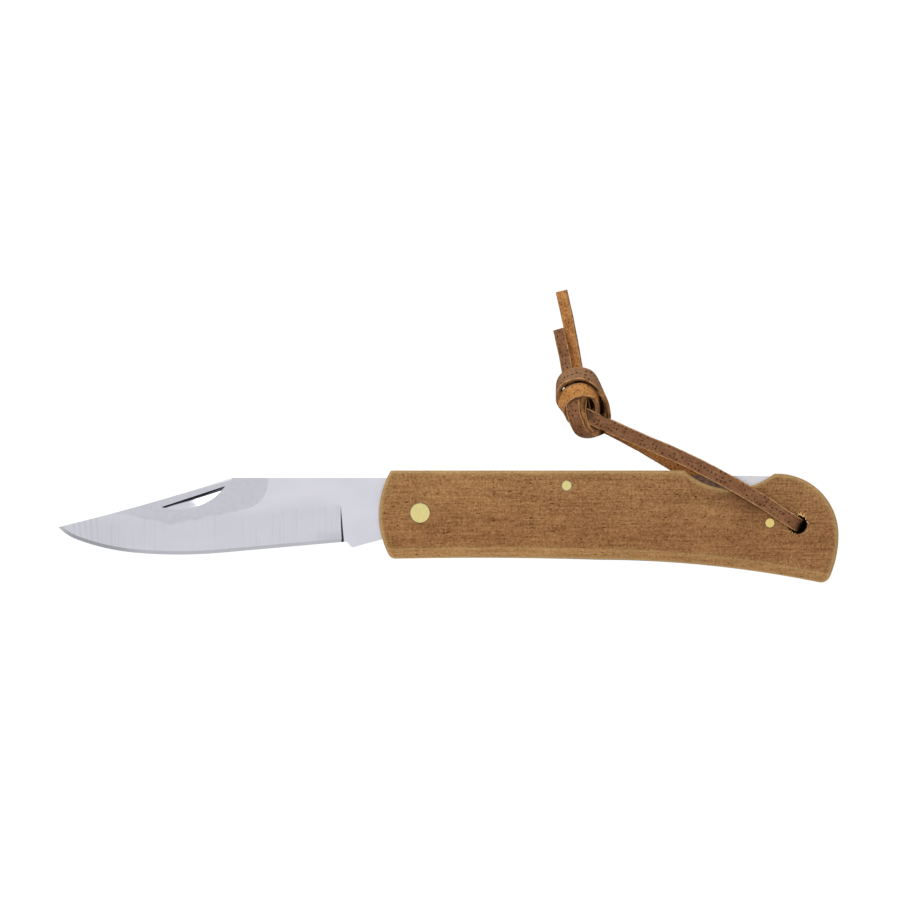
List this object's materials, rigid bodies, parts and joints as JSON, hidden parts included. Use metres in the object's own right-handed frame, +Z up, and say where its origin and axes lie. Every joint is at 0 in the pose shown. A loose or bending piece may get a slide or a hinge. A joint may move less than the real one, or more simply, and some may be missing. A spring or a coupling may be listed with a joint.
{
  "type": "folding pocket knife",
  "caption": "Lock-back folding pocket knife with a clip-point blade, wooden scales on steel liners, brass pins and a knotted leather thong.",
  "frame": {"origin": "centre of the box of the open knife without its thong, on the mid-plane of the blade", "axes": "the knife lies on its side: +X from the tip to the butt, +Y from the edge to the back, +Z up, towards the side with the nail nick"},
  "size_m": [0.1788, 0.067, 0.015],
  "materials": {
    "blade_steel": "satin, ground across the blade",
    "lock_steel": "polished",
    "liner_steel": "satin",
    "spring_steel": "tempered, plain",
    "pin_brass": "ground flush and polished",
    "washer_bronze": "plain",
    "scale_wood": "oiled, open pored",
    "thong_leather": "grain side smooth with pores, flesh side suede"
  },
  "bodies": {
    "handle": {"upper_scale": "scale_wood", "lower_scale": "scale_wood", "upper_liner": "liner_steel", "lower_liner": "liner_steel", "rear_spacer": "liner_steel", "back_spring": "spring_steel", "pivot_pin": "pin_brass", "lock_bar_pin": "pin_brass", "rear_pin": "pin_brass", "upper_washer": "washer_bronze", "lower_washer": "washer_bronze", "thong_bight": "thong_leather", "thong_upper_strand": "thong_leather", "thong_lower_strand": "thong_leather", "thong_knot": "thong_leather", "thong_long_tail": "thong_leather", "thong_short_tail": "thong_leather"},
    "blade": {"blade": "blade_steel"},
    "lock_bar": {"lock_bar": "lock_steel"}
  },
  "joints": [
    {"name": "blade_fold", "type": "hinge", "parent": "handle", "child": "blade", "pos_m": [-0.00653, 0.0031, 0], "axis": [0, 0, 1], "range_deg": [0, 170]},
    {"name": "lock_bar_rock", "type": "hinge", "parent": "handle", "child": "lock_bar", "pos_m": [0.02711, 0.00938, 0], "axis": [0, 0, -1], "range_deg": [-1.9, 1.5], "stiffness_Nm_per_rad": 0.6, "springref_deg": -5.73, "deforming": ["back_spring"]}
  ]
}
